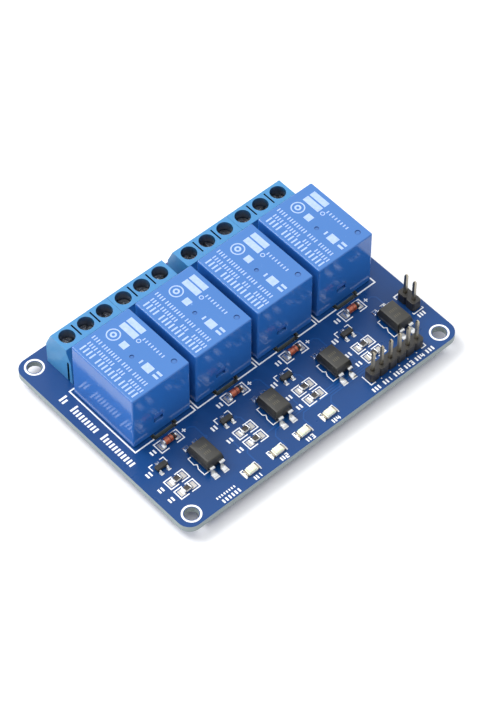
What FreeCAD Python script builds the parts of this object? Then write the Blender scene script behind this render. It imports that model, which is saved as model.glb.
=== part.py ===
import FreeCAD, Part
import os
from math import cos, radians, sin, tan

# Four-channel relay module. X runs along the relay row, Y from the pin header to the
# screw terminals and Z up. The part rests on its soldered pin tails at Z = 0.
# All lengths are millimetres. Heights of pieces on the board are above the board, rows run
# along X and are measured from its front edge, and shifts are from a relay's centre line.

# Circuit board, as large as its relay row and terminals need
board_thickness = 1.6
board_corner_radius = 3.0
board_left_margin = 5.425
board_right_margin = 4.525
board_front_zone = 23.15
board_rear_margin = 3.4
mount_inset_x = 3.5
mount_inset_y = 3.0
mount_hole_diameter = 3.2
pin_tail = 2.1
isolation_slot_width = 1.0
isolation_slot_half_span = 2.9
isolation_slot_reach = 0.9
isolation_slot_return = 2.6

# Fits
pin_gap = 0.03
cover_gap = 0.06
part_gap = 0.05
pin_hole_gap = 0.2

# Relay outside
relay_count = 4
relay_gap = 1.55
relay_width = 15.6
relay_length = 19.3
relay_height = 15.5
relay_draft = 0.05
relay_lift = 0.3
cover_wall = 0.9
cover_roof = 1.0
cover_corner_radius = 0.4
cover_top_radius = 0.3
dimple_depth = 0.15
gate_dimple_diameter = 1.0
vent_dimple_diameter = 1.3
gate_dimple_x = -0.1
gate_dimple_y = -0.6
vent_dimple_x = 5.6
vent_dimple_y = -7.2
latch_x = -1.0
latch_width = 2.4
latch_height = 2.0
latch_z = 3.6
latch_tongue = 0.45

# Relay inside
base_thickness = 1.8
base_foot_size = 1.4
base_foot_inset = 1.6
common_inset = 2.5
coil_pin_row = 2.0
coil_pin_inset = 1.8
throw_pin_inset = 1.8
throw_row_inset = 2.6
coil_pin_width = 0.6
blade_width = 1.0
blade_thickness = 0.5
yoke_thickness = 1.1
yoke_width = 9.0
yoke_foot_width = 8.0
bobbin_flange = 0.8
bobbin_flange_rim = 0.4
bobbin_barrel_diameter = 4.4
bobbin_lug_width = 2.0
bobbin_lug_rim = 0.2
winding_diameter = 9.4
core_diameter = 3.0
pole_diameter = 6.0
pole_thickness = 0.5
armature_thickness = 1.0
armature_width = 9.0
armature_end_gap = 3.35
armature_corner_radius = 1.8
armature_travel_deg = 2.5
leaf_thickness = 0.2
leaf_width = 3.6
leaf_tail = 2.4
leaf_tail_gap = 0.2
contact_diameter = 1.8
contact_height = 0.3
contact_gap = 0.06
arm_thickness = 0.4
roof_clearance = 0.83

# Screw terminals
terminal_ways = 3
terminal_pitch = 5.08
terminal_end_wall = 0.03
terminal_block_gap = 0.05
terminal_pair_gap = 3.05
terminal_row_shift = 0.35
terminal_relay_gap = 1.75
terminal_height = 10.0
terminal_rear_base = 4.05
terminal_rear_top = 2.4
terminal_rear_knee_drop = 4.0
terminal_front_base = 4.35
terminal_front_shoulder = 4.0
terminal_front_top = 2.8
terminal_front_shoulder_drop = 3.6
terminal_front_knee_drop = 1.1
terminal_well_diameter = 3.6
terminal_slit_width = 0.35
terminal_slit_length = 3.4
terminal_slit_depth = 1.6
dovetail_y = 3.1
dovetail_mouth = 0.5
dovetail_root = 0.9
dovetail_depth = 0.7
dovetail_drop = 0.4
wire_entry_width = 3.8
wire_entry_height = 3.8
wire_entry_z = 1.2
entry_funnel = 0.35
clamp_width = 3.9
clamp_depth = 3.6
clamp_height = 5.6
clamp_wall = 0.7
clamp_lift = 0.2
screw_diameter = 2.5
screw_head_diameter = 3.3
screw_head_height = 1.4
screw_head_lift = 0.3
screw_slot_width = 0.6
screw_slot_depth = 0.7
screw_turn_deg = 37.0

# Pin headers
header_pitch = 2.54
header_body = 2.5
header_height = 2.54
header_notch = 0.4
header_pin = 0.64
header_pin_top = 8.4
header_pin_point = 0.5
header_pin_taper = 0.16
signal_header_ways = 6
signal_header_row = 3.9
signal_header_from_right = 15.95
supply_header_ways = 2
supply_header_row = 13.15
supply_header_from_right = 2.7

# Optocouplers
coupler_shift = (1.375, 3.225, 3.075, 3.625)
coupler_row = 11.3
coupler_width = 4.6
coupler_length = 6.5
coupler_height = 3.5
coupler_standoff = 0.2
coupler_parting = 1.9
coupler_draft_deg = 14.0
coupler_dot_inset = 1.3
coupler_dot_diameter = 0.9
coupler_dot_depth = 0.1
coupler_lead_pitch = 2.54
coupler_lead_width = 1.1
coupler_lead_thickness = 0.26
coupler_lead_shoulder = 0.65
coupler_foot = 1.0

# Small transistors
transistor_shift = (-6.725, -6.075, -6.425, -6.175)
transistor_row = 15.75
transistor_width = 2.9
transistor_depth = 1.3
transistor_height = 1.0
transistor_standoff = 0.1
transistor_draft_deg = 7.0
transistor_lead_width = 0.4
transistor_lead_thickness = 0.15
transistor_lead_reach = 0.6
transistor_lead_pitch = 1.9

# Glass diodes
diode_shift = (-1.225, -0.075, -0.675, -0.875)
diode_row = 19.7
diode_diameter = 1.5
diode_length = 3.5
diode_cap_length = 0.45
diode_cap_step = 0.06

# Chip resistors and indicator lights
resistor_shift = (-6.375, -4.725, -5.3, -5.475)
resistor_rows = (11.4, 8.2)
resistor_length = 2.0
resistor_width = 1.25
resistor_height = 0.5
resistor_cap = 0.4
resistor_cap_step = 0.03
light_from_left = 19.65
light_pitch = 7.25
light_row = 2.85
light_length = 3.2
light_width = 1.6
light_height = 0.6
light_lens_length = 2.0
light_lens_height = 0.5
light_lens_inset = 0.1

# Solder
pad_thickness = 0.05
pad_margin = 0.25
fillet_height = 0.35
fillet_reach = 0.4
joint_foot_diameter = 2.1
joint_top_diameter = 1.1
joint_height = 1.3
round_flats = 8

# Levels above the resting plane
board_bottom = pin_tail
board_top = pin_tail + board_thickness

# Outline of the board, centred on the origin
relay_pitch = relay_width + relay_gap
board_length = board_left_margin + relay_count * relay_pitch - relay_gap + board_right_margin
relay_zone = board_front_zone + relay_length
terminal_zone = terminal_relay_gap + terminal_front_base + terminal_rear_base
board_width = relay_zone + terminal_zone + board_rear_margin
board_left = -board_length / 2
board_right = board_length / 2
board_front = -board_width / 2


# Shapes used by several pieces
def vec(x, y, z=0.0):
    return FreeCAD.Vector(x, y, z)


def box(x, y, z, length, width, height):
    """A box centred on x and y that stands on z."""
    return Part.makeBox(length, width, height, vec(x - length / 2, y - width / 2, z))


def rod(x, y, z, diameter, height):
    return Part.makeCylinder(diameter / 2, height, vec(x, y, z))


def prism_y(points, x, width):
    """A (y, z) outline extruded along X by a width centred on x."""
    corners = [vec(x - width / 2, y, z) for y, z in points]
    return Part.Face(Part.makePolygon(corners + corners[:1])).extrude(vec(width, 0))


def prism_z(points, z, height):
    """An (x, y) outline extruded upwards from z."""
    corners = [vec(x, y, z) for x, y in points]
    return Part.Face(Part.makePolygon(corners + corners[:1])).extrude(vec(0, 0, height))


def frustum(x, y, z, length, width, height, inset):
    """A block on z whose four sides lean in by inset at the top, or out if it is negative."""
    wedge = Part.makeWedge(-length / 2, 0, -width / 2, inset - width / 2, inset - length / 2,
                           length / 2, height, width / 2, width / 2 - inset, length / 2 - inset)
    wedge.rotate(vec(0, 0), vec(1, 0), 90)
    wedge.translate(vec(x, y, z))
    return wedge


def flatted_circle(x, y, across):
    """Corners of a drilled hole or a solder cone, drawn with flats to stay light."""
    step = radians(360 / round_flats)
    radius = across / 2 / cos(step / 2)
    turns = [step * (i + 0.5) for i in range(round_flats)]
    return [(x + radius * cos(turn), y + radius * sin(turn)) for turn in turns]


def edges_along_z(shape):
    return [e for e in shape.Edges if abs(e.tangentAt(e.FirstParameter).z) > 0.9]


def edges_at_height(shape, z):
    return [e for e in shape.Edges
            if abs(e.BoundBox.ZMin - z) < 1e-4 and abs(e.BoundBox.ZMax - z) < 1e-4]


def moved(shape, x, y, z=0.0):
    copy = shape.copy()
    copy.translate(vec(x, y, z))
    return copy


# Places of repeated pieces
def spaced(count, pitch):
    """Places of evenly spaced copies, centred on zero."""
    return [(i - (count - 1) / 2) * pitch for i in range(count)]


first_relay_x = board_left + board_left_margin + relay_width / 2
relay_xs = [first_relay_x + i * relay_pitch for i in range(relay_count)]
relay_front_y = board_front + board_front_zone
relay_center_y = relay_front_y + relay_length / 2
common_y = common_inset - relay_length / 2
coil_y = common_y + coil_pin_row
throw_y = relay_length / 2 - throw_row_inset
coil_pin_x = relay_width / 2 - coil_pin_inset
throw_pin_x = relay_width / 2 - throw_pin_inset
block_width = terminal_ways * terminal_pitch + 2 * terminal_end_wall
block_pitch = block_width + terminal_block_gap
pair_offset = terminal_pair_gap / 2 + block_width + terminal_block_gap / 2
block_xs = [terminal_row_shift + pair * pair_offset + side * block_pitch / 2
            for pair in (-1, 1) for side in (-1, 1)]
terminal_screw_y = relay_front_y + relay_length + terminal_relay_gap + terminal_front_base
way_xs = spaced(terminal_ways, terminal_pitch)
signal_header_x = board_right - signal_header_from_right
signal_header_y = board_front + signal_header_row
supply_header_x = board_right - supply_header_from_right
supply_header_y = board_front + supply_header_row
coupler_xs = [x + shift for x, shift in zip(relay_xs, coupler_shift)]
coupler_y = board_front + coupler_row
transistor_xs = [x + shift for x, shift in zip(relay_xs, transistor_shift)]
transistor_y = board_front + transistor_row
diode_xs = [x + shift for x, shift in zip(relay_xs, diode_shift)]
diode_y = board_front + diode_row
resistor_xs = [x + shift for x, shift in zip(relay_xs, resistor_shift)]
resistor_ys = [board_front + row for row in resistor_rows]
light_xs = [board_left + light_from_left + i * light_pitch for i in range(relay_count)]
light_y = board_front + light_row


def relay_pin_places():
    """The common pin, the coil pins and the throw pins of a relay centred on the origin."""
    places = [(0, common_y, blade_width, blade_thickness)]
    for side in (-1, 1):
        places.append((side * coil_pin_x, coil_y, coil_pin_width, coil_pin_width))
        places.append((side * throw_pin_x, throw_y, blade_width, blade_thickness))
    return places


def through_pins():
    """Each soldered pin as x, y and its section along X and along Y."""
    pins = []
    for x in relay_xs:
        pins += [(x + px, relay_center_y + py, across, deep)
                 for px, py, across, deep in relay_pin_places()]
    for block in block_xs:
        for way in way_xs:
            pins.append((block + way, terminal_screw_y, blade_width, blade_thickness))
    for x in spaced(signal_header_ways, header_pitch):
        pins.append((signal_header_x + x, signal_header_y, header_pin, header_pin))
    for y in spaced(supply_header_ways, header_pitch):
        pins.append((supply_header_x, supply_header_y + y, header_pin, header_pin))
    return pins


def pin_solid(pin, z, height):
    x, y, across, deep = pin
    return box(x, y, z, across, deep, height)


# Circuit board
def isolation_slot(x):
    """A U-shaped slot round the common pin, milled with a cutter as wide as the slot."""
    front = relay_front_y - isolation_slot_reach
    back = relay_center_y + common_y + isolation_slot_return
    tools = [box(x, front, board_bottom, 2 * isolation_slot_half_span, isolation_slot_width,
                 board_thickness)]
    for side in (-1, 1):
        leg_x = x + side * isolation_slot_half_span
        tools.append(box(leg_x, (front + back) / 2, board_bottom, isolation_slot_width,
                         back - front, board_thickness))
        for y in (front, back):
            tools.append(rod(leg_x, y, board_bottom, isolation_slot_width, board_thickness))
    return tools[0].fuse(tools[1:]).removeSplitter()


def circuit_board():
    plate = box(0, 0, board_bottom, board_length, board_width, board_thickness)
    plate = plate.makeFillet(board_corner_radius, edges_along_z(plate))
    tools = []
    for side_x in (-1, 1):
        for side_y in (-1, 1):
            tools.append(rod(side_x * (board_length / 2 - mount_inset_x),
                             side_y * (board_width / 2 - mount_inset_y),
                             board_bottom, mount_hole_diameter, board_thickness))
    for pin in through_pins():
        across = (pin[2] ** 2 + pin[3] ** 2) ** 0.5 + pin_hole_gap
        tools.append(prism_z(flatted_circle(pin[0], pin[1], across), board_bottom, board_thickness))
    return plate.cut(tools + [isolation_slot(x) for x in relay_xs])


# Relay pieces are drawn on a relay centred on the origin with the board's top at Z = 0
bobbin_flange_size = winding_diameter + 2 * bobbin_flange_rim
cover_inner_width = relay_width - 2 * cover_wall
cover_inner_length = relay_length - 2 * cover_wall
base_top = relay_lift + base_thickness
yoke_front = common_y - yoke_thickness / 2
hinge_y = yoke_front
contact_y = throw_y
armature_length = contact_y - hinge_y - armature_end_gap
contact_lift = (contact_y - hinge_y) * sin(radians(armature_travel_deg))
contact_edge_lift = contact_diameter / 2 * sin(radians(armature_travel_deg))
core_y = yoke_front + yoke_thickness + part_gap + bobbin_flange_size / 2

# Heights in the relay, down from the roof for the contacts and up from the base for the coil
closed_face = relay_height - cover_roof - roof_clearance - arm_thickness - contact_height
leaf_top = closed_face - contact_gap - contact_edge_lift - contact_lift - contact_height
armature_top = leaf_top - leaf_thickness
hinge_z = armature_top - armature_thickness
yoke_top = hinge_z - pin_gap
bobbin_top = yoke_top - pole_thickness
bobbin_bottom = base_top + yoke_thickness
bobbin_height = bobbin_top - bobbin_bottom


def released(shape):
    """Turns a moving piece from the closed place, where it is drawn, to the open rest place."""
    copy = shape.copy()
    copy.rotate(vec(0, hinge_y, hinge_z), vec(1, 0), armature_travel_deg)
    return copy


def latch_profile(depth):
    """The snap nib on its tongue, seen from the side with the tongue's outer face at y = 0: a
    ledge on top to hold the cover, and a ramp below."""
    bottom = relay_lift + latch_z
    top = bottom + latch_height
    return [(-latch_tongue, base_top), (-latch_tongue, top), (depth, top),
            (depth, top - latch_height / 2), (0, bottom), (0, base_top)]


def relay_cover():
    height = relay_height - relay_lift
    outer = frustum(0, 0, relay_lift, relay_width, relay_length, height, relay_draft)
    outer = outer.makeFillet(cover_corner_radius, edges_along_z(outer))
    outer = outer.makeFillet(cover_top_radius, edges_at_height(outer, relay_height))
    inner = frustum(0, 0, relay_lift, cover_inner_width, cover_inner_length,
                    height - cover_roof, relay_draft)
    dimples = [rod(gate_dimple_x, gate_dimple_y, relay_height - dimple_depth,
                   gate_dimple_diameter, dimple_depth),
               rod(vent_dimple_x, vent_dimple_y, relay_height - dimple_depth,
                   vent_dimple_diameter, dimple_depth)]
    window = box(latch_x, 0, relay_lift + latch_z - part_gap, latch_width + 2 * part_gap,
                 2 * relay_length, latch_height + 2 * part_gap)
    return outer.cut([inner, window] + dimples)


def relay_base():
    length = cover_inner_width - 2 * cover_gap - 2 * relay_draft
    width = cover_inner_length - 2 * cover_gap - 2 * relay_draft
    plate = box(0, 0, relay_lift, length, width, base_thickness)
    feet = [box(sx * (length / 2 - base_foot_inset), sy * (width / 2 - base_foot_inset),
                0, base_foot_size, base_foot_size, relay_lift)
            for sx in (-1, 1) for sy in (-1, 1)]
    reach = (relay_length - width) / 2 - relay_draft
    nibs = []
    for side in (-1, 1):
        outline = [(side * (width / 2 + y), z) for y, z in latch_profile(reach)]
        nibs.append(prism_y(outline, latch_x, latch_width))
    body = plate.fuse(feet + nibs)
    slots = [box(x, y, 0, across + 2 * pin_gap, deep + 2 * pin_gap, base_top)
             for x, y, across, deep in relay_pin_places()]
    return body.cut(slots)


def relay_bobbin():
    lower = box(0, core_y, bobbin_bottom, bobbin_flange_size, bobbin_flange_size, bobbin_flange)
    upper = moved(lower, 0, 0, bobbin_height - bobbin_flange)
    barrel = rod(0, core_y, bobbin_bottom, bobbin_barrel_diameter, bobbin_height)
    lug_reach = coil_pin_x + coil_pin_width / 2 + bobbin_lug_rim
    lugs = box(0, coil_y, bobbin_bottom, 2 * lug_reach, bobbin_lug_width, bobbin_flange)
    body = barrel.fuse([lower, upper, lugs])
    bore = rod(0, core_y, bobbin_bottom, core_diameter + 2 * pin_gap, bobbin_height)
    hole_size = coil_pin_width + 2 * pin_gap
    holes = [box(side * coil_pin_x, coil_y, bobbin_bottom, hole_size, hole_size, bobbin_flange)
             for side in (-1, 1)]
    yoke_relief = box(0, yoke_front, bobbin_bottom, yoke_width + 2 * part_gap,
                      2 * (yoke_thickness + part_gap), bobbin_flange)
    return body.cut([bore, yoke_relief] + holes)


def relay_winding():
    z = bobbin_bottom + bobbin_flange + part_gap
    height = bobbin_height - 2 * (bobbin_flange + part_gap)
    tube = rod(0, core_y, z, winding_diameter, height)
    return tube.cut(rod(0, core_y, z, bobbin_barrel_diameter + 2 * pin_gap, height))


def relay_yoke_and_core():
    foot_length = core_y + pole_diameter / 2 - yoke_front
    foot = box(0, yoke_front + foot_length / 2, base_top, yoke_foot_width, foot_length,
               yoke_thickness)
    leg = box(0, yoke_front + yoke_thickness / 2, base_top, yoke_width, yoke_thickness,
              yoke_top - base_top)
    core = rod(0, core_y, bobbin_bottom, core_diameter, bobbin_height)
    pole = rod(0, core_y, bobbin_top, pole_diameter, pole_thickness)
    return foot.fuse([leg, core, pole]).removeSplitter()


def relay_armature():
    plate = box(0, hinge_y + armature_length / 2, hinge_z, armature_width, armature_length,
                armature_thickness)
    free_end = [e for e in edges_along_z(plate) if e.BoundBox.YMin > hinge_y + armature_length / 2]
    return released(plate.makeFillet(armature_corner_radius, free_end))


def relay_contact_leaf():
    start = hinge_y - leaf_tail_gap - leaf_thickness
    end = contact_y + contact_diameter / 2 + leaf_thickness
    top = box(0, (start + end) / 2, armature_top, leaf_width, end - start, leaf_thickness)
    tail = box(0, start + leaf_thickness / 2, yoke_top - leaf_tail, leaf_width, leaf_thickness,
               leaf_top - yoke_top + leaf_tail)
    button = rod(0, contact_y, armature_top - contact_height, contact_diameter,
                 leaf_thickness + 2 * contact_height)
    return released(top.fuse([tail, button]).removeSplitter())


def relay_terminals():
    """Common pin, two coil pins, and the normally open and normally closed contact posts."""
    bottom = -board_thickness - pin_tail
    common = box(0, common_y, bottom, blade_width, blade_thickness, base_top - bottom)
    coil_top = bobbin_bottom + bobbin_flange + contact_height
    coils = [box(side * coil_pin_x, coil_y, bottom, coil_pin_width, coil_pin_width,
                 coil_top - bottom) for side in (-1, 1)]
    open_face = armature_top - contact_height - contact_gap
    posts = []
    for side, face, arm_side in ((1, open_face, -1), (-1, closed_face, 1)):
        x = side * throw_pin_x
        arm_middle = face + arm_side * (contact_height + arm_thickness / 2)
        arm_bottom = arm_middle - arm_thickness / 2
        post = box(x, contact_y, bottom, blade_width, blade_thickness,
                   arm_bottom + arm_thickness - bottom)
        reach = abs(x) + blade_width / 2 + contact_diameter / 2
        arm = box(side * (reach / 2 - contact_diameter / 2), contact_y, arm_bottom, reach,
                  contact_diameter, arm_thickness)
        button_bottom = face if arm_side > 0 else face - contact_height
        button = rod(0, contact_y, button_bottom, contact_diameter, contact_height)
        posts.append(post.fuse([arm, button]).removeSplitter())
    return Part.makeCompound([common] + coils + posts)


# Screw terminal blocks are drawn centred on x = 0 with their screws on y = 0
terminal_shoulder_z = terminal_height - terminal_front_shoulder_drop


def terminal_outline():
    return [(-terminal_front_base, 0), (-terminal_front_shoulder, terminal_shoulder_z),
            (-terminal_front_top, terminal_height - terminal_front_knee_drop),
            (-terminal_front_top, terminal_height), (terminal_rear_top, terminal_height),
            (terminal_rear_base, terminal_height - terminal_rear_knee_drop),
            (terminal_rear_base, 0)]


def dovetail(x, gap):
    """The interlocking rib, mouth at x, or its groove when gap is the clearance round it."""
    mouth = dovetail_mouth / 2 + gap
    root = dovetail_root / 2 + gap
    depth = dovetail_depth + gap
    points = [(x, -dovetail_y - mouth), (x + depth, -dovetail_y - root),
              (x + depth, -dovetail_y + root), (x, -dovetail_y + mouth)]
    return prism_z(points, 0, terminal_shoulder_z - dovetail_drop + gap)


def terminal_housing():
    clamp_top = clamp_lift + clamp_height
    body = prism_y(terminal_outline(), 0, block_width)
    body = body.fuse(dovetail(block_width / 2, 0))
    tools = [dovetail(-block_width / 2, terminal_block_gap)]
    for i, x in enumerate(way_xs):
        tools.append(box(x, 0, 0, clamp_width + 2 * part_gap, clamp_depth + 2 * part_gap,
                         clamp_top + part_gap))
        tools.append(rod(x, 0, 0, terminal_well_diameter, terminal_height))
        rear = terminal_rear_base
        tools.append(box(x, rear / 2, wire_entry_z, wire_entry_width, rear, wire_entry_height))
        mouth = frustum(0, 0, 0, wire_entry_width + 2 * entry_funnel,
                        wire_entry_height + 2 * entry_funnel, entry_funnel, entry_funnel)
        mouth.rotate(vec(0, 0), vec(1, 0), 90)
        mouth.translate(vec(x, rear, wire_entry_z + wire_entry_height / 2))
        tools.append(mouth)
        if i:
            tools.append(box(x - terminal_pitch / 2, 0, terminal_height - terminal_slit_depth,
                             terminal_slit_width, terminal_slit_length, terminal_slit_depth))
    return body.cut(tools)


def terminal_clamps():
    """Three brass clamp cages, each with its solder pin and the bore that its screw turns in."""
    cages = []
    bottom = -board_thickness - pin_tail
    for x in way_xs:
        cage = box(x, 0, clamp_lift, clamp_width, clamp_depth, clamp_height)
        window = box(x, 0, clamp_lift + clamp_wall, clamp_width - 2 * clamp_wall, clamp_depth,
                     clamp_height - 2 * clamp_wall)
        bore = rod(x, 0, clamp_lift + clamp_wall, screw_diameter + 2 * pin_gap, clamp_height)
        pin = box(x, 0, bottom, blade_width, blade_thickness, clamp_lift - bottom)
        cages.append(cage.cut([window, bore]).fuse(pin))
    return Part.makeCompound(cages)


def terminal_screws(block):
    screws = []
    head_bottom = clamp_lift + clamp_height + screw_head_lift
    shank_bottom = clamp_lift + clamp_height / 2
    for way, x in enumerate(way_xs):
        head = rod(x, 0, head_bottom, screw_head_diameter, screw_head_height)
        shank = rod(x, 0, shank_bottom, screw_diameter, head_bottom - shank_bottom)
        slot = box(x, 0, head_bottom + screw_head_height - screw_slot_depth,
                   2 * screw_head_diameter, screw_slot_width, screw_slot_depth)
        slot.rotate(vec(x, 0), vec(0, 0, 1), screw_turn_deg * (block * terminal_ways + way))
        screws.append(head.fuse(shank).cut(slot))
    return Part.makeCompound(screws)


# Pin headers are drawn along X, centred on the origin
def header_housing(ways):
    half = header_pitch / 2
    cut = header_notch
    depth = header_body / 2
    near = []
    far = []
    for x in spaced(ways, header_pitch):
        near += [(x - half, cut - depth), (x - half + cut, -depth), (x + half - cut, -depth)]
        far += [(x - half, depth - cut), (x - half + cut, depth), (x + half - cut, depth)]
    end = ways / 2 * header_pitch
    near.append((end, cut - depth))
    far.append((end, depth - cut))
    body = prism_z(near + far[::-1], 0, header_height)
    holes = [box(x, 0, 0, header_pin + 2 * pin_gap, header_pin + 2 * pin_gap, header_height)
             for x in spaced(ways, header_pitch)]
    return body.cut(holes)


def header_pins(ways):
    bottom = -board_thickness - pin_tail
    pins = []
    shaft_top = header_pin_top - header_pin_point
    for x in spaced(ways, header_pitch):
        shaft = box(x, 0, bottom, header_pin, header_pin, shaft_top - bottom)
        tip = frustum(x, 0, shaft_top, header_pin, header_pin, header_pin_point, header_pin_taper)
        pins.append(shaft.fuse(tip))
    return Part.makeCompound(pins)


# Optocouplers, drawn on the origin with their leads towards front and back
def coupler_body():
    upper_height = coupler_height - coupler_parting
    lower_height = coupler_parting - coupler_standoff
    upper = frustum(0, 0, coupler_parting, coupler_width, coupler_length, upper_height,
                    upper_height * tan(radians(coupler_draft_deg)))
    lower = frustum(0, 0, 0, coupler_width, coupler_length, lower_height,
                    lower_height * tan(radians(coupler_draft_deg)))
    lower.rotate(vec(0, 0), vec(1, 0), 180)
    lower.translate(vec(0, 0, coupler_parting))
    dot = rod(coupler_dot_inset - coupler_width / 2, coupler_dot_inset - coupler_length / 2,
              coupler_height - coupler_dot_depth, coupler_dot_diameter, coupler_dot_depth)
    return upper.fuse(lower).cut(dot)


coupler_lead_xs = spaced(2, coupler_lead_pitch)


def coupler_leads():
    inner = coupler_length / 2
    knee = inner + coupler_lead_shoulder
    outer = knee + coupler_foot
    t = coupler_lead_thickness
    foot = pad_thickness
    outline = [(inner, coupler_parting - t), (knee - t, coupler_parting - t), (knee - t, foot),
               (outer, foot), (outer, foot + t), (knee, foot + t), (knee, coupler_parting),
               (inner, coupler_parting)]
    leads = []
    for side in (-1, 1):
        for x in coupler_lead_xs:
            leads.append(prism_y([(side * y, z) for y, z in outline], x, coupler_lead_width))
    return leads


# Small transistors, with two leads towards the front and one towards the back
def transistor_lead_places():
    return [(-transistor_lead_pitch / 2, -1), (transistor_lead_pitch / 2, -1), (0, 1)]


def transistor_inset(height):
    """How far a side of the body leans in over this height."""
    return height * tan(radians(transistor_draft_deg))


def transistor_body():
    height = transistor_height - transistor_standoff
    return frustum(0, 0, transistor_standoff, transistor_width, transistor_depth, height,
                   transistor_inset(height))


def transistor_leads():
    middle = (transistor_height + transistor_standoff) / 2
    lead_bottom = middle - transistor_lead_thickness
    inner = transistor_depth / 2 - transistor_inset(lead_bottom - transistor_standoff)
    outer = transistor_depth / 2 + transistor_lead_reach
    knee = (inner + outer) / 2
    t = transistor_lead_thickness
    foot = pad_thickness
    outline = [(inner, middle - t), (knee - t / 2, middle - t), (knee - t / 2, foot),
               (outer, foot), (outer, foot + t), (knee + t / 2, foot + t), (knee + t / 2, middle),
               (inner, middle)]
    return [prism_y([(side * y, z) for y, z in outline], x, transistor_lead_width)
            for x, side in transistor_lead_places()]


# Glass diodes lie along X between two pressed metal caps
def lying_rod(x, z, diameter, length):
    return Part.makeCylinder(diameter / 2, length, vec(x - length / 2, 0, z), vec(1, 0))


diode_z = pad_thickness + diode_diameter / 2 + diode_cap_step


def diode_glass():
    return lying_rod(0, diode_z, diode_diameter, diode_length - 2 * diode_cap_length)


def diode_caps():
    offset = (diode_length - diode_cap_length) / 2
    diameter = diode_diameter + 2 * diode_cap_step
    return [lying_rod(side * offset, diode_z, diameter, diode_cap_length) for side in (-1, 1)]


def chip_resistor():
    body = box(0, 0, pad_thickness + resistor_cap_step, resistor_length, resistor_width,
               resistor_height)
    cap_width = resistor_width + 2 * resistor_cap_step
    cap_height = resistor_height + 2 * resistor_cap_step
    caps = [box(side * (resistor_length - resistor_cap) / 2, 0, pad_thickness, resistor_cap,
                cap_width, cap_height) for side in (-1, 1)]
    return body.fuse(caps).removeSplitter()


def indicator_light():
    plate = box(0, 0, pad_thickness, light_length, light_width, light_height)
    lens = frustum(0, 0, pad_thickness + light_height, light_lens_length,
                   light_width, light_lens_height, light_lens_inset)
    return plate.fuse(lens)


# Solder
def surface_pad(x, y, side_x, side_y, length, width):
    """A pad under a lead end, with a sloped fillet beyond the end on the side it points to."""
    pad = box(x, y, 0, length, width, pad_thickness)
    if side_x:
        start = side_x * (length / 2 - fillet_reach)
        wedge = prism_z([(0, 0), (fillet_reach, 0), (0, fillet_height)], -width / 2, width)
        wedge.rotate(vec(0, 0), vec(1, 0), 90)
        wedge.translate(vec(0, 0, pad_thickness))
        if side_x < 0:
            wedge.rotate(vec(0, 0), vec(0, 0, 1), 180)
        wedge.translate(vec(x + start, y))
        return pad.fuse(wedge)
    start = side_y * (width / 2 - fillet_reach)
    outline = [(start, pad_thickness), (start + side_y * fillet_reach, pad_thickness),
               (start, pad_thickness + fillet_height)]
    return pad.fuse(moved(prism_y(outline, 0, length), x, y))


def end_pads(x, y, part_length, part_width):
    """Pads for a part along X that is soldered at both ends."""
    length = fillet_reach + 2 * pad_margin
    offset = part_length / 2 + fillet_reach - length / 2
    return [surface_pad(x + side * offset, y, side, 0, length, part_width) for side in (-1, 1)]


def lead_pad(x, y, side, lead_width, foot, toe):
    """A pad for a lead along Y whose toe lies this far from y."""
    depth = foot + fillet_reach
    offset = side * (toe + fillet_reach - depth / 2)
    return surface_pad(x, y + offset, 0, side, lead_width + pad_margin, depth)


def surface_solder():
    pieces = []
    coupler_toe = coupler_length / 2 + coupler_lead_shoulder + coupler_foot
    transistor_toe = transistor_depth / 2 + transistor_lead_reach
    for center in coupler_xs:
        pieces += [lead_pad(center + x, coupler_y, side, coupler_lead_width, coupler_foot,
                            coupler_toe) for side in (-1, 1) for x in coupler_lead_xs]
    for center in transistor_xs:
        pieces += [lead_pad(center + x, transistor_y, side, transistor_lead_width,
                            2 * pad_margin, transistor_toe)
                   for x, side in transistor_lead_places()]
    for x in diode_xs:
        pieces += end_pads(x, diode_y, diode_length, diode_diameter)
    for x in light_xs:
        pieces += end_pads(x, light_y, light_length, light_width)
    for x in resistor_xs:
        for y in resistor_ys:
            pieces += end_pads(x, y, resistor_length, resistor_width)
    return Part.makeCompound(pieces)


def pin_solder():
    """The cone of solder round each pin under the board."""
    cones = []
    for pin in through_pins():
        rings = []
        for z, across in ((board_bottom, joint_foot_diameter),
                          (board_bottom - joint_height, joint_top_diameter)):
            corners = [vec(x, y, z) for x, y in flatted_circle(pin[0], pin[1], across)]
            rings.append(Part.makePolygon(corners + corners[:1]))
        cone = Part.makeLoft(rings, True, True)
        cones.append(cone.cut(pin_solid(pin, board_bottom - joint_height, joint_height)))
    return Part.makeCompound(cones)


# Sub-parts, each in its own file
def spread(make, xs, y):
    """Copies of one component, or of its list of pieces, at each x on the board."""
    copies = []
    for x in xs:
        pieces = make()
        if not isinstance(pieces, list):
            pieces = [pieces]
        copies += [moved(piece, x, y, board_top) for piece in pieces]
    return Part.makeCompound(copies)


def turned_header(shape):
    copy = shape.copy()
    copy.rotate(vec(0, 0), vec(0, 0, 1), 90)
    return copy


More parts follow.
